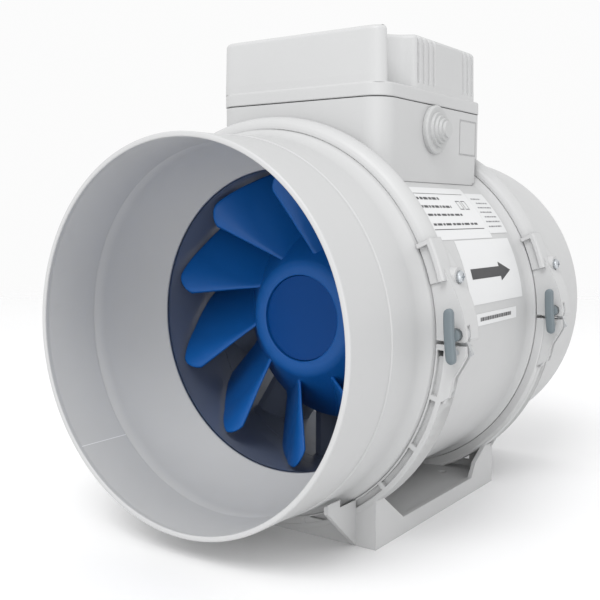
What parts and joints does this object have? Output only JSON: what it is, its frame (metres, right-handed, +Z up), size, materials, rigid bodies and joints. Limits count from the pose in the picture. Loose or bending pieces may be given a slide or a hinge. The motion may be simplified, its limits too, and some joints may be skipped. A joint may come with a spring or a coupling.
{
  "type": "inline duct fan",
  "caption": "Mixed-flow inline duct fan: round inlet and outlet spigots, a latched centre casing with a turning impeller, a terminal box and a screw-down base.",
  "frame": {"origin": "centre of the four fixing holes, on the plane the mounting base stands on", "axes": "+Y along the airflow, from inlet to outlet; +Z up from the base, across the fan axis; +X to the side with the cable grommet"},
  "size_m": [0.2464, 0.295, 0.2675],
  "materials": {
    "casing_grey": "satin",
    "impeller_blue": "semi-gloss",
    "duct_dark": "satin",
    "lever_grey": "satin",
    "zinc_steel": "zinc plated",
    "ground_steel": "ground",
    "laminations": "stacked sheet",
    "copper_wire": "enamelled copper winding",
    "cast_alloy": "die cast",
    "seal_rubber": "matt",
    "grommet_grey": "matt",
    "block_plastic": "satin",
    "can_white": "satin",
    "conduit_black": "matt",
    "label_white": "printed film, matt"
  },
  "bodies": {
    "housing": {"mounting_base": "casing_grey", "catch_pins": "zinc_steel", "inlet_spigot": "casing_grey", "inlet_cone": "casing_grey", "front_seal": "seal_rubber", "rear_seal": "seal_rubber", "centre_casing": "casing_grey", "outlet_spigot": "casing_grey", "impeller_shroud": "duct_dark", "guide_vane_housing": "duct_dark", "guide_vanes": "duct_dark", "motor_pod": "duct_dark", "pod_cover": "duct_dark", "front_bearing": "ground_steel", "rear_bearing": "ground_steel", "stator_core": "laminations", "stator_windings": "copper_wire", "motor_flange": "cast_alloy", "motor_screws": "zinc_steel", "terminal_box": "casing_grey", "box_screws": "zinc_steel", "box_gasket": "seal_rubber", "box_lid": "casing_grey", "lid_screws": "zinc_steel", "cable_grommet": "grommet_grey", "terminal_block": "block_plastic", "terminal_screws": "zinc_steel", "capacitor": "can_white", "capacitor_clip": "zinc_steel", "lead_conduit": "conduit_black", "lead_bush": "seal_rubber", "latch_screws": "zinc_steel", "rating_label": "label_white", "service_label": "label_white", "arrow_label": "label_white", "serial_label": "label_white"},
    "rotor": {"impeller": "impeller_blue", "impeller_blades": "impeller_blue", "impeller_cap": "impeller_blue", "impeller_screws": "zinc_steel", "rotor_shell": "ground_steel", "rotor_cage": "cast_alloy", "rotor_shaft": "ground_steel", "shaft_circlip": "ground_steel"},
    "latch_front_right": {"latch_lever_front_right": "lever_grey", "latch_hook_front_right": "zinc_steel"},
    "latch_front_left": {"latch_lever_front_left": "lever_grey", "latch_hook_front_left": "zinc_steel"},
    "latch_rear_right": {"latch_lever_rear_right": "lever_grey", "latch_hook_rear_right": "zinc_steel"},
    "latch_rear_left": {"latch_lever_rear_left": "lever_grey", "latch_hook_rear_left": "zinc_steel"}
  },
  "joints": [
    {"name": "rotor_spin", "type": "hinge", "parent": "housing", "child": "rotor", "pos_m": [0, 0, 0.111], "axis": [0, -1, 0], "continuous": true},
    {"name": "latch_front_right_turn", "type": "hinge", "parent": "housing", "child": "latch_front_right", "pos_m": [0.1162, -0.07, 0.1149], "axis": [0, -1, 0], "range_deg": [0, 85]},
    {"name": "latch_front_left_turn", "type": "hinge", "parent": "housing", "child": "latch_front_left", "pos_m": [-0.1162, -0.07, 0.1149], "axis": [0, 1, 0], "range_deg": [0, 85]},
    {"name": "latch_rear_right_turn", "type": "hinge", "parent": "housing", "child": "latch_rear_right", "pos_m": [0.1162, 0.0634, 0.1149], "axis": [0, -1, 0], "range_deg": [0, 85]},
    {"name": "latch_rear_left_turn", "type": "hinge", "parent": "housing", "child": "latch_rear_left", "pos_m": [-0.1162, 0.0634, 0.1149], "axis": [0, 1, 0], "range_deg": [0, 85]}
  ]
}
